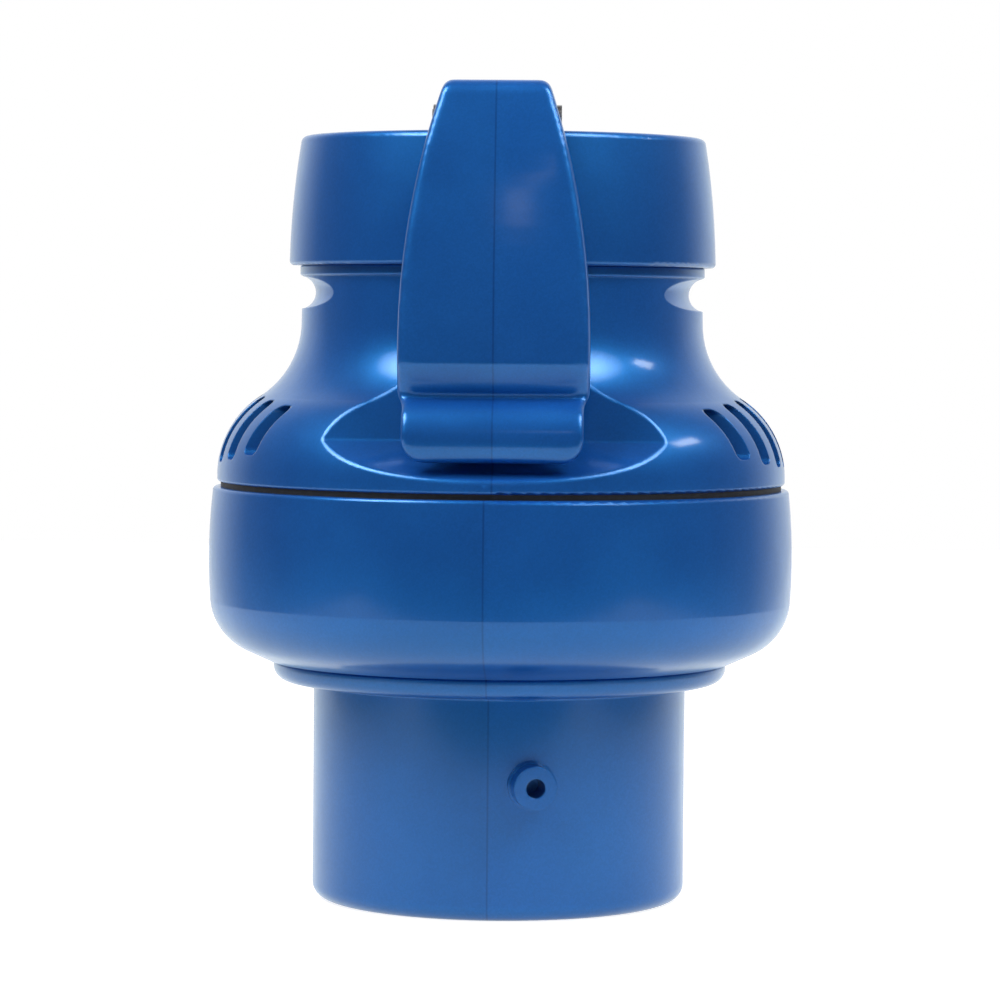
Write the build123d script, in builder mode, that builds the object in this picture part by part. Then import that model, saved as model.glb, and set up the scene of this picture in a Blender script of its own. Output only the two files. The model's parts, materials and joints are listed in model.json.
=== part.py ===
from build123d import *
import os
from math import cos, sin, radians

os.makedirs("parts", exist_ok=True)

# Millimetres. The origin is on the hose axis at the foot of the outlet spigot.
# The lever is on the -Y side; d below means the distance in front of the axis.

# Hose sizes and fits
spigot_radius = 24.8
spigot_root_radius = spigot_radius + 0.32
spigot_bore = spigot_radius - 3.3
socket_radius = 25.1
running_gap = 0.05

# Flow tube and its seals
tube_radius = 21.0
tube_bore = tube_radius - 2.0
tube_flange_radius = tube_radius + 3.0
ring_section = 0.95
seal_pocket_radius = tube_radius + 2 * ring_section

# Heights, each one stacked on the one below
spigot_step_top = 14.2
step_flange_low = 29.3
belly_crease = step_flange_low + 2.7
belly_rise = 23.2
seam_low = belly_crease + belly_rise
seam_high = seam_low + 0.7
seat_ledge = seam_low - 5.2
chamber_floor = belly_crease + 2.6
tube_foot = belly_crease - 1.0
shoulder_rise = 20.1
chamber_roof = seam_high + shoulder_rise
neck_top = chamber_roof + 7.4
collar_low = neck_top + 1.4
collar_floor_low = neck_top + 3.0
collar_floor_top = collar_floor_low + 1.8
socket_depth = 13.8
rim_height = collar_floor_top + socket_depth

# Radii of the housings
belly_radius = 39.15
mouth_radius = belly_radius - 2.25
chamber_radius = belly_radius - 3.55
skirt_bore = belly_radius - 4.55
shoulder_radius = belly_radius - 6.85
belly_foot_radius = belly_radius - 8.15
spigot_neck_radius = seal_pocket_radius + 2.0
step_flange_radius = spigot_root_radius + 5.28
neck_radius = tube_radius + 5.8
neck_foot_radius = neck_radius + 0.1
neck_bore = tube_radius + 3.6
flange_radius = neck_radius + 0.3
neck_spigot_radius = neck_radius - 0.6
collar_radius = socket_radius + 3.45
rim_radius = socket_radius + 1.85

# Regulating valve
seat_bore = 27.0
seat_thick = 2.0
seat_gasket_thick = 0.6
seat_lip_low = seat_ledge - 0.1
seal_inner = seat_bore + 0.2
seal_outer = seal_inner + 3.6
poppet_radius = seal_outer + 0.8
poppet_low = seat_lip_low - 3.7
poppet_thick = 3.1
poppet_seal_thick = 1.2
bush_wall = 1.35
hub_wall = 1.6
hub_top = poppet_low + 8.8
bush_height = 6.6
bush_ring_thick = 0.8
ring_low = poppet_low + 0.8 + bush_height
window_count = 6
window_height = chamber_floor + 3.7
window_tall = 4.4
window_wide = 14.0
hose_seal_thick = 1.2
seal_groove_radius = socket_radius + 0.5
spring_mean_radius = chamber_radius - 8.0
spring_wire = 1.3
spring_turns = 4.0
spring_seat_thick = 0.9

# Twist-lock bosses
boss_radius = 2.85
boss_hole = 1.25
boss_reach = spigot_root_radius + 3.08
boss_height = spigot_step_top + 3.6
boss_angle = 11.6
boss_foot = 0.25
boss_foot_radius = boss_radius + 0.3

# Vents
vent_width = 3.0
vent_pitch = 5.58
vent_low = seam_high + 2.4
vent_high = seam_high + 11.6
vents_per_side = 8

# Lever and its hinge
pivot_d = socket_radius + 3.1
pivot_z = rim_height + 1.6
pin_radius = 0.9
knuckle_radius = 2.0
ear_inner = 3.6
ear_outer = 5.3
washer_thick = 0.4
cheek_wall = 1.9
cam_half = 3.2
pad_half = 3.0
pad_front = socket_radius + 1.3
pad_back = socket_radius + 0.2
pad_low = pivot_z - 5.4
pad_high = pivot_z - 2.4
notch_radius = 6.5
lever_top = pivot_z + 4.6
cap_low = lever_top - 2.2
lever_foot = seam_high + 3.8
lever_edge = lever_foot + 12.5
lever_rise = lever_top - lever_edge
cheek_seat = 7.4
pin_head_radius = 1.5
pin_head_thick = 0.8
pin_clip_thick = 0.6

# Finger recess behind the lever's lip: distances in front of the axis
recess_wall = 2.2
recess_edge = 0.8
recess_top = neck_radius - 0.8
recess_foot = neck_radius + 2.7
recess_out = belly_radius + 0.85
recess_run = recess_out - recess_foot


def corner(sketch, x, z, radius):
    """Round the outline corner nearest to a point."""
    fillet(sketch.vertices().sort_by_distance((x, z, 0))[0], radius)


def save(builder, name):
    builder.part.label = name
    export_step(builder.part, "parts/" + name + ".step")


# Outlet spigot with its step flange, twist-lock bosses and the seat of the flow tube
with BuildPart() as outlet_spigot:
    with BuildSketch(Plane.XZ) as wall:
        with BuildLine():
            Polyline(
                (tube_bore, tube_foot), (tube_bore, tube_foot - 1.0), (spigot_bore, step_flange_low - 2.5),
                (spigot_bore, 0), (spigot_radius, 0), (spigot_radius, spigot_step_top),
                (spigot_root_radius, spigot_step_top + 0.4), (spigot_root_radius, step_flange_low),
                (step_flange_radius, step_flange_low), (step_flange_radius, belly_crease - 0.3),
                (step_flange_radius - 0.3, belly_crease), (spigot_neck_radius, belly_crease),
                (spigot_neck_radius, chamber_floor), (seal_pocket_radius, chamber_floor),
                (seal_pocket_radius, chamber_floor - 2 * ring_section),
                (tube_radius, chamber_floor - 2 * ring_section), (tube_radius, tube_foot),
                (tube_bore, tube_foot))
        make_face()
        corner(wall, spigot_radius, 0, 2.0)
        corner(wall, spigot_bore, 0, 0.6)
        corner(wall, spigot_root_radius, step_flange_low, 0.5)
        corner(wall, step_flange_radius, step_flange_low, 2.0)
    revolve(axis=Axis.Z)
    for turn in (boss_angle, boss_angle + 180):
        facing = Plane(
            (0, 0, boss_height), x_dir=(0, 0, 1), z_dir=(sin(radians(turn)), -cos(radians(turn)), 0))
        with BuildSketch(facing.offset(spigot_bore + 1.5)):
            Circle(boss_foot_radius)
        extrude(amount=spigot_root_radius + boss_foot - spigot_bore - 1.5)
        with BuildSketch(facing.offset(spigot_bore + 1.5)):
            Circle(boss_radius)
        extrude(amount=boss_reach - spigot_bore - 1.5)
        with BuildSketch(facing.offset(spigot_bore + 1.5)):
            Circle(boss_hole)
        extrude(amount=boss_reach, mode=Mode.SUBTRACT)
save(outlet_spigot, "outlet_spigot")

# Lower housing: the belly bowl and the mouth that takes the upper housing
with BuildPart() as lower_housing:
    with BuildSketch(Plane.XZ) as wall:
        with BuildLine():
            Polyline(
                (spigot_neck_radius, belly_crease), (belly_foot_radius, belly_crease),
                (belly_radius - 4.95, belly_crease + 1.45))
            ThreePointArc(
                (belly_radius - 4.95, belly_crease + 1.45), (belly_radius - 1.8, belly_crease + 3.9),
                (belly_radius - 0.2, belly_crease + 8.0))
            ThreePointArc(
                (belly_radius - 0.2, belly_crease + 8.0), (belly_radius, seam_low - 9.2),
                (belly_radius - 0.55, seam_low))
            Polyline(
                (belly_radius - 0.55, seam_low), (mouth_radius, seam_low), (mouth_radius, seat_ledge),
                (chamber_radius, seat_ledge), (chamber_radius, chamber_floor + 4.9))
            ThreePointArc(
                (chamber_radius, chamber_floor + 4.9), (chamber_radius - 1.2, chamber_floor + 1.4),
                (chamber_radius - 4.1, chamber_floor))
            Polyline(
                (chamber_radius - 4.1, chamber_floor), (spigot_neck_radius, chamber_floor),
                (spigot_neck_radius, belly_crease))
        make_face()
        corner(wall, belly_radius - 4.95, belly_crease + 1.45, 4.0)
        corner(wall, belly_radius - 0.55, seam_low, 0.5)
    revolve(axis=Axis.Z)
save(lower_housing, "lower_housing")

def recess(shift_d, shift_z):
    """Side outline of the finger recess, moved back and down by the wall thickness."""
    foot_z = seam_high + 6.5 - shift_z
    out_z = seam_high + 1.4 - shift_z
    with BuildSketch(Plane.YZ) as outline:
        with BuildLine():
            Line((shift_d - recess_top, seam_high + 17.8), (shift_d - recess_foot, foot_z))
            Spline(
                (shift_d - recess_foot, foot_z), (shift_d / 2 - recess_foot - 0.2 * recess_run, foot_z - 1.7),
                (-recess_foot - 0.562 * recess_run, foot_z - 3.8), (-recess_out, out_z))
            Polyline(
                (-recess_out, out_z), (-recess_out - 5, out_z), (-recess_out - 5, seam_high + 17.8),
                (shift_d - recess_top, seam_high + 17.8))
        make_face()
        corner(outline, shift_d - recess_foot, foot_z, 1.0)
    return outline.sketch


# Space inside the upper housing, kept clear of the finger recess
with BuildPart() as chamber:
    with BuildSketch(Plane.XZ):
        with BuildLine():
            Polyline(
                (tube_radius - 1.0, chamber_roof), (tube_radius - 1.0, seat_ledge),
                (skirt_bore, seat_ledge), (skirt_bore, seam_high + 5.55))
            ThreePointArc(
                (skirt_bore, seam_high + 5.55), (skirt_bore - 1.5, seam_high + 7.6),
                (skirt_bore - 3.6, seam_high + 9.35))
            ThreePointArc(
                (skirt_bore - 3.6, seam_high + 9.35),
                (neck_bore + 0.41 * (skirt_bore - neck_bore - 3.6), seam_high + 13.1),
                (neck_bore, chamber_roof))
            Line((neck_bore, chamber_roof), (tube_radius - 1.0, chamber_roof))
        make_face()
    revolve(axis=Axis.Z)
    extrude(recess(recess_wall, recess_wall), amount=40, both=True, mode=Mode.SUBTRACT)

# Upper housing: skirt, vented shoulder and neck
with BuildPart() as upper_housing:
    skirt_low = seat_ledge + seat_gasket_thick + seat_thick
    with BuildSketch(Plane.XZ) as wall:
        with BuildLine():
            Polyline(
                (tube_radius, skirt_low), (mouth_radius, skirt_low), (mouth_radius, seam_high),
                (belly_radius - 1.1, seam_high))
            ThreePointArc(
                (belly_radius - 1.1, seam_high), (belly_radius - 2.35, seam_high + 6.4),
                (shoulder_radius, seam_high + 11.4))
            ThreePointArc(
                (shoulder_radius, seam_high + 11.4),
                (neck_foot_radius + 0.26 * (shoulder_radius - neck_foot_radius), seam_high + 15.8),
                (neck_foot_radius, chamber_roof + 1.5))
            Polyline(
                (neck_foot_radius, chamber_roof + 1.5), (neck_radius, neck_top), (flange_radius, neck_top),
                (flange_radius, collar_low), (neck_spigot_radius, collar_low),
                (neck_spigot_radius, collar_floor_low), (tube_flange_radius, collar_floor_low),
                (tube_flange_radius, neck_top), (seal_pocket_radius, neck_top),
                (seal_pocket_radius, neck_top - 2 * ring_section),
                (tube_radius, neck_top - 2 * ring_section), (tube_radius, skirt_low))
        make_face()
        corner(wall, belly_radius - 1.1, seam_high, 0.4)
        corner(wall, flange_radius, neck_top, 0.3)
        corner(wall, flange_radius, collar_low, 0.3)
    revolve(axis=Axis.Z)
    extrude(recess(0, 0), amount=40, both=True, mode=Mode.SUBTRACT)
    lower_rim = upper_housing.edges().filter_by(GeomType.BSPLINE)
    fillet(lower_rim.filter_by_position(Axis.Y, -recess_out, 0.5 - recess_foot), recess_edge)
    add(chamber.part, mode=Mode.SUBTRACT)
    # finger grooves either side of the neck, shallower towards their ends
    groove_centre = neck_radius - 12.83
    groove_edge = neck_radius + 0.8
    for side in (1, -1):
        with BuildSketch(Plane.XZ):
            with BuildLine():
                ThreePointArc(
                    (side * groove_edge, neck_top - 4.4), (side * (neck_radius - 1.65), neck_top - 1.4),
                    (side * groove_edge, neck_top - 0.05))
                Line((side * groove_edge, neck_top - 0.05), (side * groove_edge, neck_top - 4.4))
            make_face()
        revolve(axis=Axis((-side * groove_centre, 0, 0), (0, 0, 1)), mode=Mode.SUBTRACT)
    # straight vents through each side of the shoulder
    for side in (1, -1):
        for count in range(vents_per_side):
            across = (count - (vents_per_side - 1) / 2) * vent_pitch
            low = vent_low + 0.0042 * across ** 2
            high = vent_high - 0.0029 * across ** 2
            with BuildSketch(Plane.YZ.offset(side * 20)):
                with Locations((across, (low + high) / 2)):
                    RectangleRounded(vent_width, high - low, 1.0)
            extrude(amount=side * 22, mode=Mode.SUBTRACT)
save(upper_housing, "upper_housing")

# Hose collar: socket for the hose cuff with the lever's ears and a notch for its cam
with BuildPart() as hose_collar:
    with BuildSketch(Plane.XZ) as wall:
        with BuildLine():
            Polyline(
                (tube_bore + 0.5, collar_floor_top), (tube_bore + 0.5, collar_floor_low),
                (neck_spigot_radius, collar_floor_low), (neck_spigot_radius, collar_low),
                (collar_radius, collar_low))
            ThreePointArc(
                (collar_radius, collar_low),
                (collar_radius - 0.45, collar_low + 0.49 * (rim_height - collar_low)),
                (rim_radius, rim_height))
            Polyline(
                (rim_radius, rim_height), (socket_radius, rim_height),
                (socket_radius, collar_floor_top + hose_seal_thick),
                (seal_groove_radius, collar_floor_top + hose_seal_thick),
                (seal_groove_radius, collar_floor_top), (tube_bore + 0.5, collar_floor_top))
        make_face()
        corner(wall, collar_radius, collar_low, 0.6)
        corner(wall, rim_radius, rim_height, 0.9)
        corner(wall, socket_radius, rim_height, 0.7)
    revolve(axis=Axis.Z)
    for side in (1, -1):
        with BuildSketch(Plane.YZ.offset(side * ear_inner)) as ear:
            with BuildLine():
                Line((-pivot_d - knuckle_radius, pivot_z), (-pivot_d - knuckle_radius, pivot_z - 3.4))
                Line((-pivot_d - knuckle_radius, pivot_z - 3.4), (-pivot_d + 1.0, pivot_z - 8.1))
                Polyline(
                    (-pivot_d + 1.0, pivot_z - 8.1), (-pivot_d + knuckle_radius, pivot_z - 6.6),
                    (-pivot_d + knuckle_radius, pivot_z))
                ThreePointArc(
                    (-pivot_d + knuckle_radius, pivot_z), (-pivot_d, pivot_z + knuckle_radius),
                    (-pivot_d - knuckle_radius, pivot_z))
            make_face()
            with Locations((-pivot_d, pivot_z)):
                Circle(pin_radius, mode=Mode.SUBTRACT)
        extrude(amount=side * (ear_outer - ear_inner))
    with BuildSketch(Plane.YZ):
        with Locations((-pivot_d, pivot_z)):
            Circle(notch_radius)
    extrude(amount=ear_inner, both=True, mode=Mode.SUBTRACT)
save(hose_collar, "hose_collar")

# Space inside the lever, open to the rear and to the foot
with BuildPart() as lever_hollow:
    with BuildSketch(Plane.YZ):
        with BuildLine():
            Polyline(
                (-pivot_d - 3, lever_foot), (-pivot_d - 3.5, lever_edge - 3.6), (-pivot_d - 6, lever_edge))
            Spline(
                (-pivot_d - 6, lever_edge), (-pivot_d - 5.6, lever_edge + 0.21 * lever_rise),
                (-pivot_d - 4.4, lever_edge + 0.48 * lever_rise),
                (-pivot_d - 2.6, lever_edge + 0.77 * lever_rise))
            Polyline(
                (-pivot_d - 2.6, lever_edge + 0.77 * lever_rise), (-pivot_d - 2.5, cap_low),
                (-pivot_d + 8.2, cap_low), (-pivot_d + 8.2, lever_foot), (-pivot_d - 3, lever_foot))
        make_face()
    extrude(amount=13, both=True)
    with BuildSketch(Plane.XZ):
        with BuildLine():
            ThreePointArc(
                (6.6 - cheek_wall, lever_top), (10.55 - cheek_wall, lever_edge + 0.575 * lever_rise),
                (12.15 - cheek_wall, lever_edge + 0.105 * lever_rise))
            Polyline(
                (12.15 - cheek_wall, lever_edge + 0.105 * lever_rise), (12.2 - cheek_wall, lever_foot - 5),
                (0, lever_foot - 5), (0, lever_top), (6.6 - cheek_wall, lever_top))
        make_face()
        mirror(about=Plane.YZ)
    extrude(amount=45, mode=Mode.INTERSECT)

# Lever: shell with a front wall, two cheeks, a turned-out lip and the clamping cam
with BuildPart() as lever:
    with BuildSketch(Plane.YZ):
        with BuildLine():
            Polyline(
                (-pivot_d - 4, lever_edge - 4.7), (-pivot_d - 3.4, lever_edge - 3.8),
                (-pivot_d + 0.7, lever_edge - 1.2), (-pivot_d + 0.7, pivot_z - 3.6),
                (-pivot_d + 1, pivot_z - 1.6), (-pivot_d + 1, lever_top),
                (-pivot_d - 1.2, lever_top))
            ThreePointArc(
                (-pivot_d - 1.2, lever_top), (-pivot_d - 2.7, lever_top - 0.7),
                (-pivot_d - 3.3, lever_top - 2.2))
            Spline(
                (-pivot_d - 3.3, lever_top - 2.2), (-pivot_d - 5.1, lever_edge + 0.74 * lever_rise),
                (-pivot_d - 6.8, lever_edge + 0.48 * lever_rise),
                (-pivot_d - 8, lever_edge + 0.21 * lever_rise), (-pivot_d - 8.4, lever_edge))
            Line((-pivot_d - 8.4, lever_edge), (-pivot_d - 5.8, lever_edge - 4.3))
            Spline(
                (-pivot_d - 5.8, lever_edge - 4.3), (-pivot_d - 9, lever_foot + 6.2),
                (-pivot_d - 10, lever_foot + 3.5), (-pivot_d - 9.6, lever_foot + 1.1),
                (-pivot_d - 8.4, lever_foot))
            Line((-pivot_d - 8.4, lever_foot), (-pivot_d - 6.7, lever_foot + 0.2))
            Spline(
                (-pivot_d - 6.7, lever_foot + 0.2), (-pivot_d - 7.3, lever_foot + 1.7),
                (-pivot_d - 7.5, lever_foot + 3.7), (-pivot_d - 6.6, lever_foot + 5.9),
                (-pivot_d - 4, lever_edge - 4.7))
        make_face()
    extrude(amount=13, both=True)
    with BuildSketch(Plane.XZ) as front:
        with BuildLine():
            ThreePointArc(
                (6.6, lever_top), (10.55, lever_edge + 0.575 * lever_rise),
                (12.15, lever_edge + 0.105 * lever_rise))
            Polyline(
                (12.15, lever_edge + 0.105 * lever_rise), (12.2, lever_edge - 4.3), (11.5, lever_edge - 5.0),
                (11.5, lever_foot - 0.2), (0, lever_foot - 0.2), (0, lever_top), (6.6, lever_top))
        make_face()
        mirror(about=Plane.YZ)
        corner(front, 6.6, lever_top, 1.6)
        corner(front, -6.6, lever_top, 1.6)
        corner(front, 11.5, lever_foot - 0.2, 3.4)
        corner(front, -11.5, lever_foot - 0.2, 3.4)
    extrude(amount=45, mode=Mode.INTERSECT)
    add(lever_hollow.part, mode=Mode.SUBTRACT)
    # cam between the ears, its flat face carrying the rubber pad
    with BuildSketch(Plane.YZ):
        with BuildLine():
            Polyline(
                (-pivot_d + 1, cap_low + 0.4), (-pivot_d + 2, pivot_z - 0.6), (-pad_front, pad_high + 0.3),
                (-pad_front, pad_low - 0.2), (-pivot_d - 0.4, pivot_z - 5.0), (-pivot_d - 2, pivot_z - 2.0),
                (-pivot_d - 2.7, pivot_z + 0.4), (-pivot_d - 2.7, cap_low + 0.4),
                (-pivot_d + 1, cap_low + 0.4))
        make_face()
    extrude(amount=cam_half, both=True)
    for side in (1, -1):
        with BuildSketch(Plane.YZ.offset(side * ear_inner)):
            with Locations((-pivot_d, pivot_z)):
                Circle(knuckle_radius + 0.3)
        extrude(amount=side * (ear_outer + washer_thick + running_gap - ear_inner), mode=Mode.SUBTRACT)
        with BuildSketch(Plane.YZ.offset(side * (ear_outer + washer_thick + running_gap))):
            with Locations((-pivot_d, pivot_z)):
                Circle(knuckle_radius - 0.2)
        extrude(amount=side * 1.4)
        with BuildSketch(Plane.YZ.offset(side * cheek_seat)):
            with Locations((-pivot_d, pivot_z)):
                Circle(pin_head_radius + running_gap)
        extrude(amount=side * 4, mode=Mode.SUBTRACT)
    with BuildSketch(Plane.YZ):
        with Locations((-pivot_d, pivot_z)):
            Circle(pin_radius + running_gap)
    extrude(amount=13, both=True, mode=Mode.SUBTRACT)
save(lever, "lever")

# Rubber pad on the cam, level with the socket wall when the lever is down
with BuildPart() as cam_pad:
    with BuildSketch(Plane.XZ.offset(pad_back)):
        with Locations((0, (pad_low + pad_high) / 2)):
            RectangleRounded(2 * pad_half, pad_high - pad_low, 0.6)
    extrude(amount=pad_front - pad_back)
save(cam_pad, "cam_pad")

# Hinge pin with its head, the push-on clip and two washers
with BuildPart() as lever_pin:
    with BuildSketch(Plane.YZ.offset(-cheek_seat - pin_head_thick)):
        with Locations((-pivot_d, pivot_z)):
            Circle(pin_radius)
    extrude(amount=2 * cheek_seat + pin_head_thick + running_gap)
    with BuildSketch(Plane.YZ.offset(cheek_seat + running_gap)):
        with Locations((-pivot_d, pivot_z)):
            Circle(pin_head_radius)
    extrude(amount=pin_head_thick)
save(lever_pin, "lever_pin")

with BuildPart() as pin_clip:
    with BuildSketch(Plane.YZ.offset(-cheek_seat - running_gap)):
        with Locations((-pivot_d, pivot_z)):
            Circle(pin_head_radius)
            Circle(pin_radius, mode=Mode.SUBTRACT)
    extrude(amount=-pin_clip_thick)
save(pin_clip, "pin_clip")

for side, name in ((1, "lever_washer_right"), (-1, "lever_washer_left")):
    with BuildPart() as washer:
        with BuildSketch(Plane.YZ.offset(side * ear_outer)):
            with Locations((-pivot_d, pivot_z)):
                Circle(knuckle_radius - 0.2)
                Circle(pin_radius, mode=Mode.SUBTRACT)
        extrude(amount=side * washer_thick)
    save(washer, name)

# Plain rings: seals, gaskets and the washer under the spring
rings = {
    "hose_seal": (tube_bore + 1.2, seal_groove_radius, collar_floor_top, hose_seal_thick),
    "housing_gasket": (mouth_radius, mouth_radius + 0.7, seam_low, seam_high - seam_low),
    "seat_gasket": (chamber_radius, mouth_radius, seat_ledge, seat_gasket_thick),
    "poppet_seal": (seal_inner, seal_outer, seat_lip_low - poppet_seal_thick, poppet_seal_thick),
    "spring_seat": (spring_mean_radius - 2.2, spring_mean_radius + 2.2, chamber_floor, spring_seat_thick),
    "poppet_bush": (
        tube_radius + running_gap, tube_radius + running_gap + bush_wall, poppet_low + 0.8, bush_height),
    "bush_retaining_ring": (
        tube_radius + running_gap + 0.5, tube_radius + running_gap + bush_wall + 0.6,
        poppet_low + 0.8 + bush_height, bush_ring_thick)}
for name, (inner, outer, low, thick) in rings.items():
    with BuildPart() as ring:
        with BuildSketch(Plane.XY.offset(low)):
            Circle(outer)
            Circle(inner, mode=Mode.SUBTRACT)
        extrude(amount=thick)
    save(ring, name)

# Round-section seals at both ends of the flow tube
for name, level in (("tube_upper_seal", neck_top), ("tube_lower_seal", chamber_floor)):
    with BuildPart() as seal:
        with BuildSketch(Plane.XZ):
            with Locations((tube_radius + ring_section, level - ring_section)):
                Circle(ring_section)
        revolve(axis=Axis.Z)
    save(seal, name)

# Flow tube with bypass windows at its foot
with BuildPart() as flow_tube:
    with BuildSketch(Plane.XY.offset(tube_foot)):
        Circle(tube_radius)
        Circle(tube_bore, mode=Mode.SUBTRACT)
    extrude(amount=collar_floor_low - tube_foot)
    with BuildSketch(Plane.XY.offset(neck_top)):
        Circle(tube_flange_radius)
        Circle(tube_bore, mode=Mode.SUBTRACT)
    extrude(amount=collar_floor_low - neck_top)
    for turn in range(window_count):
        facing = Plane((0, 0, window_height), x_dir=(0, 0, 1), z_dir=(
            sin(radians(turn * 360 / window_count)), -cos(radians(turn * 360 / window_count)), 0))
        with BuildSketch(facing.offset(tube_bore - 8)):
            RectangleRounded(window_tall, window_wide, 0.8)
        extrude(amount=12, mode=Mode.SUBTRACT)
save(flow_tube, "flow_tube")

# Valve seat ring with the raised lip that the poppet closes on
with BuildPart() as valve_seat:
    with BuildSketch(Plane.XY.offset(seat_ledge + seat_gasket_thick)):
        Circle(mouth_radius)
        Circle(seat_bore, mode=Mode.SUBTRACT)
    extrude(amount=seat_thick)
    with BuildSketch(Plane.XY.offset(seat_lip_low)):
        Circle((seal_inner + seal_outer) / 2 + 0.8)
        Circle((seal_inner + seal_outer) / 2 - 0.8, mode=Mode.SUBTRACT)
    extrude(amount=seat_ledge + seat_gasket_thick - seat_lip_low)
save(valve_seat, "valve_seat")

# Poppet: disc with a seal groove and a guide hub around the flow tube
with BuildPart() as poppet:
    bush_radius = tube_radius + running_gap + bush_wall
    plate_top = poppet_low + poppet_thick
    with BuildSketch(Plane.XZ) as wall:
        with BuildLine():
            Polyline(
                (tube_radius + 0.5, poppet_low), (poppet_radius, poppet_low), (poppet_radius, plate_top),
                (seal_outer, plate_top), (seal_outer, seat_lip_low - poppet_seal_thick),
                (seal_inner, seat_lip_low - poppet_seal_thick), (seal_inner, plate_top),
                (bush_radius + hub_wall, plate_top), (bush_radius + hub_wall, hub_top),
                (bush_radius, hub_top), (bush_radius, ring_low + bush_ring_thick),
                (bush_radius + 0.6, ring_low + bush_ring_thick),
                (bush_radius + 0.6, ring_low), (bush_radius, ring_low), (bush_radius, poppet_low + 0.8),
                (tube_radius + 0.5, poppet_low + 0.8), (tube_radius + 0.5, poppet_low))
        make_face()
        corner(wall, bush_radius + hub_wall, plate_top, 1.2)
        corner(wall, poppet_radius, poppet_low, 0.8)
        corner(wall, bush_radius + hub_wall, hub_top, 0.5)
    revolve(axis=Axis.Z)
save(poppet, "poppet")

# Spring that holds the poppet shut
with BuildPart() as regulator_spring:
    coil_low = chamber_floor + spring_seat_thick + spring_wire / 2
    coil_rise = poppet_low - spring_wire / 2 - coil_low
    with BuildLine() as path:
        Helix(coil_rise / spring_turns, coil_rise, spring_mean_radius, center=(0, 0, coil_low))
    with BuildSketch(Plane(path.line @ 0, z_dir=path.line % 0)):
        Circle(spring_wire / 2)
    sweep()
save(regulator_spring, "regulator_spring")
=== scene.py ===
import bpy
import json
import math
import numpy as np
from mathutils import Vector, Matrix


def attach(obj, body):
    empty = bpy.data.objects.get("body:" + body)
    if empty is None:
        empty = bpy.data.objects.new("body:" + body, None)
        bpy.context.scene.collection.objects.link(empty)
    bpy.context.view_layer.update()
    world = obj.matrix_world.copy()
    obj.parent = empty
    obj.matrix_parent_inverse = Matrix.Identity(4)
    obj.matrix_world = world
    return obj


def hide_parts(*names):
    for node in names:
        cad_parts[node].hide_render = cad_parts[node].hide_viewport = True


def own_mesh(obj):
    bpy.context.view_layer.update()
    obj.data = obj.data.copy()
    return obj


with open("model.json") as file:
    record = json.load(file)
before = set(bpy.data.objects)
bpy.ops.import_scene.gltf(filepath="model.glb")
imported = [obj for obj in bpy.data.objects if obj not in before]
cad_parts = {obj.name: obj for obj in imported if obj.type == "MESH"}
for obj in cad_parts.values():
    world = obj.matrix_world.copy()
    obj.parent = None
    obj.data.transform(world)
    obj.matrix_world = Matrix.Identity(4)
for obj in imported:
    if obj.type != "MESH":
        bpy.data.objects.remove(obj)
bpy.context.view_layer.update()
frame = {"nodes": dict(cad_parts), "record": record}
nodes = frame["nodes"]
scene = bpy.context.scene
scene.view_settings.view_transform = "Standard"

# Lengths are in metres, angles in degrees where they are given. The front is -Y.

# Camera, fitted to the curves of the rim, the seam and the foot of the spigot
TURN = math.radians(1.8)
PITCH = math.radians(2.725)
ROLL = 0.0083
DISTANCE = 0.5465
EYE = 0.0795
SIDE_STEP = 0.000106
SENSOR = 36.0
LENS = 146.4
NEAR, FAR = 0.02, 20

# Pearl plastic
DARK_BLUE = (0.008, 0.084, 0.375, 1)
LIGHT_BLUE = (0.011, 0.104, 0.43, 1)
# Painted shade: the inner parts' blue is a darker copy of the pearl blue, standing in for the dim
# inside of the housing
INNER_SHADE_DARK = (0.004, 0.03, 0.14, 1)
INNER_SHADE_LIGHT = (0.006, 0.04, 0.18, 1)
GLOSS_ROUGH = 0.36
INNER_ROUGH = 0.45
CLOUD_SCALE = 55
FLAKE_SCALE = 4200
HAZE_SCALE = 120
RIPPLE_SCALE = 45
RIPPLE_HEIGHT = 0.002
SEAM_WIDTH = 0.00022
SEAM_TINT = (0.62, 0.5, 0.62, 1)
# Painted light: the half right of the parting line is made lighter, a painted highlight of the
# right-hand softbox
LIT_HALF_SLOPE = 900.0
RIGHT_HALF_PAINTED_LIGHT = 1.07
EDGE_RADIUS = 0.0003
UPPER_SEAM = math.radians(0.0)
LOWER_SEAM = math.radians(1.4)

# Lever: how finely it is copied and how its edges are eased
VOXEL = 0.00028
EVEN_STEPS = 4
EVEN_WEIGHT = 0.35
EASE_STEPS = 26
EDGE_BAND = 0.0021
EDGE_FADE = 0.0006
LIP_TOP = 0.0665
LIP_SIDE_WEIGHT = 0.7
LIP_WEIGHT = 0.35
LIP_FADE_TOP, LIP_FADE = 0.0668, 0.0008
TOP_EDGE = 0.1052
FRONT_EDGE = -0.0295
FADE = 0.001
CROWN = 0.0005
CROWN_REACH = 0.012
CROWN_TOP, CROWN_TOP_FADE = 0.1000, 0.006
CROWN_FOOT, CROWN_FOOT_FADE = 0.0660, 0.004
LEVER_HEIGHTS = (0.0597, 0.0671, 0.0680, 0.0760, 0.0845, 0.0929, 0.1010, 0.1082)
LEVER_HALF_WIDTHS = (0.0115, 0.0115, 0.0122, 0.01215, 0.0116, 0.01055, 0.00885, 0.0066)

# Spigot's wall, and where the solid's wall steps
SPIGOT_RADIUS = 0.025
STEP_MIDDLE = 0.0143
ROOT_TOP = 0.0289
WALL_RISE = 0.0002
FOOT_INNER, FOOT_BLEND = 0.0221, 0.0027
ROOT_INNER, ROOT_OUTER = 0.0249, 0.02515
SHARP_ANGLE = math.radians(28)

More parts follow.
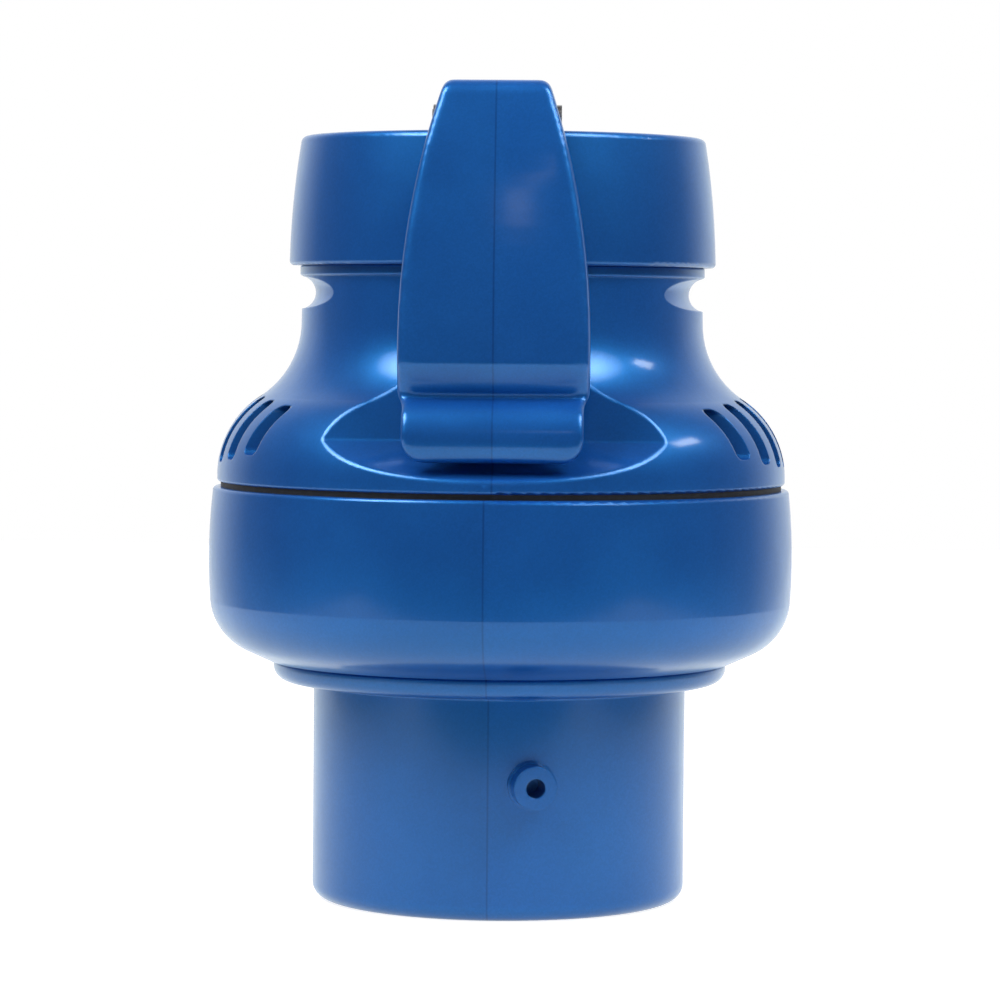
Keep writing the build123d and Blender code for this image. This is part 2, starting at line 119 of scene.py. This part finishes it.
# Spring
WIRE = 0.00065
COIL = 0.0276
SPRING_LOW, SPRING_HIGH = 0.0355, 0.0462
TURNS = 5.5
FLAT_TURNS = 0.85
EASE_SHARE = 0.35
STEPS_PER_TURN = 72
ROUND = 12

# Floor, tent and lamps
FLOOR_FRONT, FLOOR_BACK, FLOOR_SIDE = 0.215, 0.8, 0.28
FLOOR_GREY = 0.36
FLOOR_ROUGH = 0.6
FLOOR_GLOW = 0.86
FRONT_LEVEL, MIDDLE_LEVEL, BACK_LEVEL = 0.12, 0.2, 1.0
MIDDLE_DEPTH, BACK_DEPTH = 0.45, 0.85
LEFT_POWER, RIGHT_POWER = 2.05, 1.5
BOX_AZIMUTH, BOX_ELEVATION, BOX_DISTANCE = 58, 48, 0.7
BOX_WIDTH, BOX_HEIGHT, BOX_GAP = 0.46, 0.5, 0.004
BOX_SHARES = (1.0, 0.8, 0.6, 0.4)
AIM_HEIGHT = 0.06


def place_camera():
    camera = bpy.data.objects.new("camera", bpy.data.cameras.new("camera"))
    scene.collection.objects.link(camera)
    scene.camera = camera
    camera.data.sensor_width = SENSOR
    camera.data.lens = LENS
    camera.data.clip_start = NEAR
    camera.data.clip_end = FAR
    right = Vector((math.cos(TURN), math.sin(TURN), 0))
    back = Vector((math.sin(TURN), -math.cos(TURN), 0))
    place = back * DISTANCE + Vector((0, 0, EYE)) - right * SIDE_STEP
    look = (-back * math.cos(PITCH) - Vector((0, 0, math.sin(PITCH)))).normalized()
    spin = Matrix.Rotation(-ROLL, 3, look)
    x_axis, y_axis = spin @ right, spin @ right.cross(look)
    camera.matrix_world = Matrix((
        (x_axis.x, y_axis.x, -look.x, place.x),
        (x_axis.y, y_axis.y, -look.y, place.y),
        (x_axis.z, y_axis.z, -look.z, place.z),
        (0, 0, 0, 1)))


# Shader helpers
def material(name):
    mat = bpy.data.materials.new(name)
    mat.use_nodes = True
    tree = mat.node_tree
    return mat, tree, tree.nodes["Principled BSDF"]


def add(tree, kind, **values):
    node = tree.nodes.new(kind)
    for key, value in values.items():
        setattr(node, key, value)
    return node


def noise(tree, scale, detail=3.0, rough=0.5):
    coords = add(tree, "ShaderNodeTexCoord")
    tex = add(tree, "ShaderNodeTexNoise")
    tex.inputs["Scale"].default_value = scale
    tex.inputs["Detail"].default_value = detail
    tex.inputs["Roughness"].default_value = rough
    tree.links.new(coords.outputs["Object"], tex.inputs["Vector"])
    return tex


def ramp(tree, source, stops):
    node = add(tree, "ShaderNodeValToRGB")
    tree.links.new(source, node.inputs["Fac"])
    first, last = node.color_ramp.elements[0], node.color_ramp.elements[1]
    first.position, first.color = stops[0][0], stops[0][1]
    last.position, last.color = stops[-1][0], stops[-1][1]
    for place, colour in stops[1:-1]:
        extra = node.color_ramp.elements.new(place)
        extra.color = colour
    return node


def grey(level):
    return (level, level, level, 1)


def math_node(tree, operation, first, second=None, third=None):
    node = add(tree, "ShaderNodeMath", operation=operation)
    for place, value in enumerate((first, second, third)):
        if value is None:
            continue
        if isinstance(value, (int, float)):
            node.inputs[place].default_value = value
        else:
            tree.links.new(value, node.inputs[place])
    return node.outputs["Value"]


def multiplied(tree, first, second):
    mix = add(tree, "ShaderNodeMix", data_type="RGBA", blend_type="MULTIPLY")
    mix.inputs["Factor"].default_value = 1.0
    tree.links.new(first, mix.inputs["A"])
    tree.links.new(second, mix.inputs["B"])
    return mix.outputs["Result"]


def bump_node(tree, height, strength, distance):
    bump = add(tree, "ShaderNodeBump")
    bump.inputs["Strength"].default_value = strength
    bump.inputs["Distance"].default_value = distance
    tree.links.new(height, bump.inputs["Height"])
    return bump


# Materials
def parting_line_and_lit_half(tree, coords, colour, seam_turn):
    """The colour with the mould's parting line, and with the half to its right painted a little
    lighter, a painted highlight.
    """
    axes = add(tree, "ShaderNodeSeparateXYZ")
    tree.links.new(coords.outputs["Object"], axes.inputs["Vector"])
    lean = math_node(tree, "MULTIPLY", axes.outputs["Y"], -math.tan(seam_turn))
    across = math_node(tree, "ADD", axes.outputs["X"], lean)
    away = math_node(tree, "DIVIDE", math_node(tree, "ABSOLUTE", across), SEAM_WIDTH)
    line = math_node(tree, "SMOOTH_MIN", away, 1.0, 0.2)
    shade = ramp(tree, line, [(0.0, SEAM_TINT), (0.85, grey(1.0))])
    # Painted light: the colour right of the line is made lighter, as if that half catches more light
    side = math_node(tree, "MULTIPLY_ADD", across, LIT_HALF_SLOPE, 0.5)
    half = ramp(tree, side, [(0.0, grey(1.0)), (1.0, grey(RIGHT_HALF_PAINTED_LIGHT))])
    return multiplied(tree, multiplied(tree, colour, shade.outputs["Color"]), half.outputs["Color"])


def pearl(name, dark, light, rough, seam_turn=None):
    """Moulded plastic with a pearl pigment: cloudy colour, fine flakes and a thin clear gloss.

    seam_turn is the angle of the mould's parting line round the Z axis, right of which the colour is
    painted lighter as painted light; None leaves out the line and the painted light.
    """
    mat, tree, bsdf = material(name)
    cloud = noise(tree, CLOUD_SCALE, 4.0, 0.55)
    colour = ramp(tree, cloud.outputs["Fac"], [(0.3, dark), (0.7, light)])
    coords = add(tree, "ShaderNodeTexCoord")
    flakes = add(tree, "ShaderNodeTexVoronoi")
    flakes.inputs["Scale"].default_value = FLAKE_SCALE
    tree.links.new(coords.outputs["Object"], flakes.inputs["Vector"])
    glint = ramp(tree, flakes.outputs["Color"], [(0.2, grey(0.95)), (0.9, grey(1.08))])
    final = multiplied(tree, colour.outputs["Color"], glint.outputs["Color"])
    if seam_turn is not None:
        final = parting_line_and_lit_half(tree, coords, final, seam_turn)
    tree.links.new(final, bsdf.inputs["Base Color"])
    haze = noise(tree, HAZE_SCALE, 5.0, 0.6)
    spread = ramp(tree, haze.outputs["Fac"], [(0.35, grey(rough - 0.03)), (0.7, grey(rough + 0.05))])
    tree.links.new(spread.outputs["Color"], bsdf.inputs["Roughness"])
    bsdf.inputs["Metallic"].default_value = 0.35
    bsdf.inputs["IOR"].default_value = 1.75
    bsdf.inputs["Specular Tint"].default_value = (0.02, 0.8, 1.0, 1)
    bsdf.inputs["Coat Weight"].default_value = 0.65
    bsdf.inputs["Coat Roughness"].default_value = 0.12
    bsdf.inputs["Coat IOR"].default_value = 1.45
    soft_edge = add(tree, "ShaderNodeBevel", samples=4)
    soft_edge.inputs["Radius"].default_value = EDGE_RADIUS
    ripple = noise(tree, RIPPLE_SCALE, 2.0, 0.4)
    bump = bump_node(tree, ripple.outputs["Fac"], 0.03, RIPPLE_HEIGHT)
    tree.links.new(soft_edge.outputs["Normal"], bump.inputs["Normal"])
    tree.links.new(bump.outputs["Normal"], bsdf.inputs["Normal"])
    tree.links.new(bump.outputs["Normal"], bsdf.inputs["Coat Normal"])
    return mat


def rubber():
    mat, tree, bsdf = material("black_rubber")
    grain = noise(tree, 900, 4.0, 0.6)
    colour = ramp(
        tree, grain.outputs["Fac"],
        [(0.3, (0.008, 0.008, 0.009, 1)), (0.75, (0.022, 0.022, 0.024, 1))])
    tree.links.new(colour.outputs["Color"], bsdf.inputs["Base Color"])
    bsdf.inputs["Roughness"].default_value = 0.62
    bump = bump_node(tree, grain.outputs["Fac"], 0.25, 0.0002)
    tree.links.new(bump.outputs["Normal"], bsdf.inputs["Normal"])
    return mat


def bearing():
    mat, tree, bsdf = material("white_bearing")
    grain = noise(tree, 300, 4.0, 0.6)
    colour = ramp(
        tree, grain.outputs["Fac"],
        [(0.3, (0.62, 0.61, 0.57, 1)), (0.75, (0.74, 0.73, 0.7, 1))])
    tree.links.new(colour.outputs["Color"], bsdf.inputs["Base Color"])
    bsdf.inputs["Roughness"].default_value = 0.45
    return mat


def steel():
    mat, tree, bsdf = material("stainless")
    coords = add(tree, "ShaderNodeTexCoord")
    stretch = add(tree, "ShaderNodeMapping")
    stretch.inputs["Scale"].default_value = (1, 1, 14)
    tree.links.new(coords.outputs["Object"], stretch.inputs["Vector"])
    lines = add(tree, "ShaderNodeTexNoise")
    lines.inputs["Scale"].default_value = 260
    lines.inputs["Detail"].default_value = 5.0
    tree.links.new(stretch.outputs["Vector"], lines.inputs["Vector"])
    colour = ramp(
        tree, lines.outputs["Fac"],
        [(0.3, (0.42, 0.42, 0.43, 1)), (0.7, (0.62, 0.62, 0.63, 1))])
    tree.links.new(colour.outputs["Color"], bsdf.inputs["Base Color"])
    spread = ramp(tree, lines.outputs["Fac"], [(0.3, grey(0.24)), (0.7, grey(0.38))])
    tree.links.new(spread.outputs["Color"], bsdf.inputs["Roughness"])
    bsdf.inputs["Metallic"].default_value = 1.0
    return mat


# Pieces
def mesh_object(name, verts, faces, finish, body, replaced):
    mesh = bpy.data.meshes.new(name)
    mesh.from_pydata(verts, [], faces)
    mesh.materials.append(finish)
    mesh.shade_smooth()
    obj = bpy.data.objects.new(name, mesh)
    scene.collection.objects.link(obj)
    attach(obj, body)
    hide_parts(replaced)
    return obj


def fine_copy(source, voxel):
    """Points, faces and edges of a closed grid skin over a solid."""
    copy = bpy.data.objects.new("fine_copy", source.data.copy())
    scene.collection.objects.link(copy)
    remesh = copy.modifiers.new("grid", "REMESH")
    remesh.mode = "VOXEL"
    remesh.voxel_size = voxel
    bpy.context.view_layer.update()
    skin = copy.evaluated_get(bpy.context.evaluated_depsgraph_get()).to_mesh()
    points = np.array([v.co for v in skin.vertices], float)
    faces = [tuple(p.vertices) for p in skin.polygons]
    edges = np.array([tuple(e.vertices) for e in skin.edges])
    bpy.data.objects.remove(copy)
    return points, faces, edges


def eased(points, edges, weight, steps):
    """Moves each point towards the mean of its neighbours, more where weight is more."""
    count = np.bincount(edges.ravel(), minlength=len(points))[:, None]
    for _ in range(steps):
        total = np.zeros_like(points)
        for axis in range(3):
            total[:, axis] = (
                np.bincount(edges[:, 0], points[edges[:, 1], axis], len(points))
                + np.bincount(edges[:, 1], points[edges[:, 0], axis], len(points)))
        points = points + 0.5 * weight[:, None] * (total / count - points)
    return points


def edge_weight(points):
    """1 along the lever's long edges and top, less on the lip, 0 away from its front."""
    x, y, z = points.T
    half_width = np.interp(z, LEVER_HEIGHTS, LEVER_HALF_WIDTHS)
    near_side = np.clip((np.abs(x) - half_width + EDGE_BAND) / EDGE_FADE, 0, 1)
    near_side = near_side * np.where(z > LIP_TOP, 1.0, LIP_SIDE_WEIGHT)
    near_top = np.clip((z - TOP_EDGE) / FADE, 0, 1)
    on_lip = np.clip((LIP_FADE_TOP - z) / LIP_FADE, 0, 1) * LIP_WEIGHT
    front = np.clip((FRONT_EDGE - y) / FADE, 0, 1)
    return np.maximum.reduce([near_side, near_top, on_lip]) * front


def make_lever():
    """The lever with its long edges rounded and its lower front face slightly crowned."""
    points, faces, edges = fine_copy(nodes["lever"], VOXEL)
    weight = edge_weight(points)
    points = eased(points, edges, np.full(len(points), EVEN_WEIGHT), EVEN_STEPS)
    points = eased(points, edges, weight, EASE_STEPS)
    x, y, z = points.T
    below_top = np.clip((CROWN_TOP - z) / CROWN_TOP_FADE, 0, 1)
    above_foot = np.clip((z - CROWN_FOOT) / CROWN_FOOT_FADE, 0, 1)
    points[:, 1] += CROWN * (below_top * above_foot) * (x / CROWN_REACH) ** 2
    mesh_object("lever_skin", points.tolist(), faces, blue, "lever", "lever")


def make_spigot():
    """The spigot with one straight wall, where the solid steps out by 0.32 mm above 14.2 mm."""
    source = nodes["outlet_spigot"].data
    spots = np.array([v.co for v in source.vertices], float)
    reach = np.hypot(spots[:, 0], spots[:, 1])
    z = spots[:, 2]
    wanted = reach.copy()
    low_wall = (z < STEP_MIDDLE) & (reach > FOOT_INNER)
    wanted[low_wall] += WALL_RISE * np.clip((reach[low_wall] - FOOT_INNER) / FOOT_BLEND, 0, 1)
    in_root = (z > STEP_MIDDLE) & (z < ROOT_TOP)
    wanted[in_root & (reach > ROOT_INNER) & (reach < ROOT_OUTER)] = SPIGOT_RADIUS
    spots[:, :2] *= (wanted / np.maximum(reach, 1e-9))[:, None]
    copy = mesh_object(
        "spigot_skin", spots.tolist(), [tuple(p.vertices) for p in source.polygons],
        lower_blue, "valve_body", "outlet_spigot")
    copy.data.set_sharp_from_angle(angle=SHARP_ANGLE)


def spring_centre(share):
    """Height of the wire's centre at a share of its length, flat for the first and last coil."""
    flat = FLAT_TURNS / TURNS
    climb = min(max((share - flat) / (1 - 2 * flat), 0.0), 1.0)
    climb = climb * climb * (3 - 2 * climb) * EASE_SHARE + climb * (1 - EASE_SHARE)
    low = SPRING_LOW + WIRE
    return low + climb * (SPRING_HIGH - WIRE - low)


def make_spring():
    """The spring as a round wire whose end coils lie flat."""
    verts, faces = [], []
    steps = int(TURNS * STEPS_PER_TURN)
    for step in range(steps + 1):
        share = step / steps
        turn = share * TURNS * 2 * math.pi
        for spot in range(ROUND):
            bend = spot / ROUND * 2 * math.pi
            reach = COIL + WIRE * math.cos(bend)
            height = spring_centre(share) + WIRE * math.sin(bend)
            verts.append((reach * math.cos(turn), reach * math.sin(turn), height))
    for step in range(steps):
        for spot in range(ROUND):
            this, side = step * ROUND + spot, step * ROUND + (spot + 1) % ROUND
            faces.append((this, this + ROUND, side + ROUND, side))
    faces.append(tuple(range(ROUND)))
    faces.append(tuple(steps * ROUND + spot for spot in reversed(range(ROUND))))
    spring = mesh_object(
        "spring_wire", verts, faces, finishes["stainless"], "valve_body",
        "regulator_spring")
    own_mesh(spring)


# Floor and light
def backdrop_rays(tree):
    """1 for the rays that show the plain background: from the camera, mirrored or seen through."""
    path = add(tree, "ShaderNodeLightPath")
    mirrored = math_node(
        tree, "MAXIMUM", path.outputs["Is Glossy Ray"], path.outputs["Is Transmission Ray"])
    return math_node(tree, "MAXIMUM", path.outputs["Is Camera Ray"], mirrored)


def make_floor():
    floor_mesh = bpy.data.meshes.new("floor")
    floor_mesh.from_pydata([
        (-FLOOR_SIDE, -FLOOR_FRONT, 0), (FLOOR_SIDE, -FLOOR_FRONT, 0),
        (FLOOR_SIDE, FLOOR_BACK, 0), (-FLOOR_SIDE, FLOOR_BACK, 0)], [], [(0, 1, 2, 3)])
    floor = bpy.data.objects.new("floor", floor_mesh)
    scene.collection.objects.link(floor)
    mat, tree, bsdf = material("floor")
    bsdf.inputs["Base Color"].default_value = grey(FLOOR_GREY)
    bsdf.inputs["Roughness"].default_value = FLOOR_ROUGH
    glow = add(tree, "ShaderNodeEmission")
    glow.inputs["Color"].default_value = grey(1)
    glow.inputs["Strength"].default_value = FLOOR_GLOW
    seen = add(tree, "ShaderNodeAddShader")
    tree.links.new(bsdf.outputs["BSDF"], seen.inputs[0])
    tree.links.new(glow.outputs["Emission"], seen.inputs[1])
    mixer = add(tree, "ShaderNodeMixShader")
    tree.links.new(backdrop_rays(tree), mixer.inputs["Fac"])
    tree.links.new(bsdf.outputs["BSDF"], mixer.inputs[1])
    tree.links.new(seen.outputs["Shader"], mixer.inputs[2])
    tree.links.new(mixer.outputs["Shader"], tree.nodes["Material Output"].inputs["Surface"])
    floor_mesh.materials.append(mat)


def make_tent():
    """A tent that is white behind the object and dim on the other side, and white to the camera."""
    world = bpy.data.worlds.new("studio")
    scene.world = world
    world.use_nodes = True
    tree = world.node_tree
    coords = add(tree, "ShaderNodeTexCoord")
    axes = add(tree, "ShaderNodeSeparateXYZ")
    tree.links.new(coords.outputs["Generated"], axes.inputs["Vector"])
    depth = ramp(tree, axes.outputs["Y"], [
        (0.0, grey(FRONT_LEVEL)), (MIDDLE_DEPTH, grey(MIDDLE_LEVEL)), (BACK_DEPTH, grey(BACK_LEVEL))])
    soft = tree.nodes["Background"]
    tree.links.new(depth.outputs["Color"], soft.inputs["Color"])
    soft.inputs["Strength"].default_value = 1.0
    white = add(tree, "ShaderNodeBackground")
    white.inputs["Color"].default_value = grey(1)
    white.inputs["Strength"].default_value = 1.0
    path = add(tree, "ShaderNodeLightPath")
    mixer = add(tree, "ShaderNodeMixShader")
    tree.links.new(path.outputs["Is Camera Ray"], mixer.inputs["Fac"])
    tree.links.new(soft.outputs["Background"], mixer.inputs[1])
    tree.links.new(white.outputs["Background"], mixer.inputs[2])
    tree.links.new(mixer.outputs["Shader"], tree.nodes["World Output"].inputs["Surface"])


def softbox(name, place, aim, width, height, power, shape="RECTANGLE"):
    lamp = bpy.data.lights.new(name, "AREA")
    lamp.shape = shape
    lamp.size, lamp.size_y = width, height
    lamp.energy = power
    obj = bpy.data.objects.new(name, lamp)
    scene.collection.objects.link(obj)
    obj.location = place
    obj.rotation_mode = "QUATERNION"
    obj.rotation_quaternion = (Vector(aim) - Vector(place)).to_track_quat("-Z", "Y")


def around(azimuth, elevation, distance):
    """A place seen from the object: azimuth 0 is the front and 90 the right."""
    turn, rise = math.radians(azimuth), math.radians(elevation)
    level = distance * math.cos(rise)
    return (level * math.sin(turn), -level * math.cos(turn), AIM_HEIGHT + distance * math.sin(rise))


def make_lamps():
    """Two big softboxes, a small window on the right and a small lamp in front.

    Each big softbox is a stack of shrinking ones, so that its mirror image has a soft edge.
    """
    middle = (0, 0, AIM_HEIGHT)
    for side, name, power in ((-1, "left", LEFT_POWER), (1, "right", RIGHT_POWER)):
        for step, share in enumerate(BOX_SHARES):
            softbox(
                "%s_%d" % (name, step),
                around(side * BOX_AZIMUTH, BOX_ELEVATION, BOX_DISTANCE - BOX_GAP * step), middle,
                BOX_WIDTH * share, BOX_HEIGHT * share, power * share ** 2, "ELLIPSE")
    softbox("window", around(94, 34, 0.6), middle, 0.13, 0.05, 0.25)
    softbox("lamp", around(1, 22, 0.6), (0, 0, 0.08), 0.028, 0.034, 0.009)


place_camera()
blue = pearl("blue_housing", DARK_BLUE, LIGHT_BLUE, GLOSS_ROUGH, UPPER_SEAM)
lower_blue = pearl("blue_housing_lower", DARK_BLUE, LIGHT_BLUE, GLOSS_ROUGH, LOWER_SEAM)
plain_blue = pearl("blue_collar", DARK_BLUE, LIGHT_BLUE, GLOSS_ROUGH)
finishes = {
    # inner_blue is the pearl blue darkened as painted shade
    "blue_housing": blue, "inner_blue": pearl("inner_blue", INNER_SHADE_DARK, INNER_SHADE_LIGHT, INNER_ROUGH),
    "black_rubber": rubber(), "white_bearing": bearing(), "stainless": steel()}
own_finish = {"outlet_spigot": lower_blue, "lower_housing": lower_blue, "hose_collar": plain_blue}
for part in frame["record"]["subparts"]:
    node = nodes[part["node"]]
    node.data.materials.clear()
    node.data.materials.append(own_finish.get(part["node"], finishes[part["material_slot"]]))

make_lever()
make_spigot()
make_spring()
make_floor()
make_tent()
make_lamps()
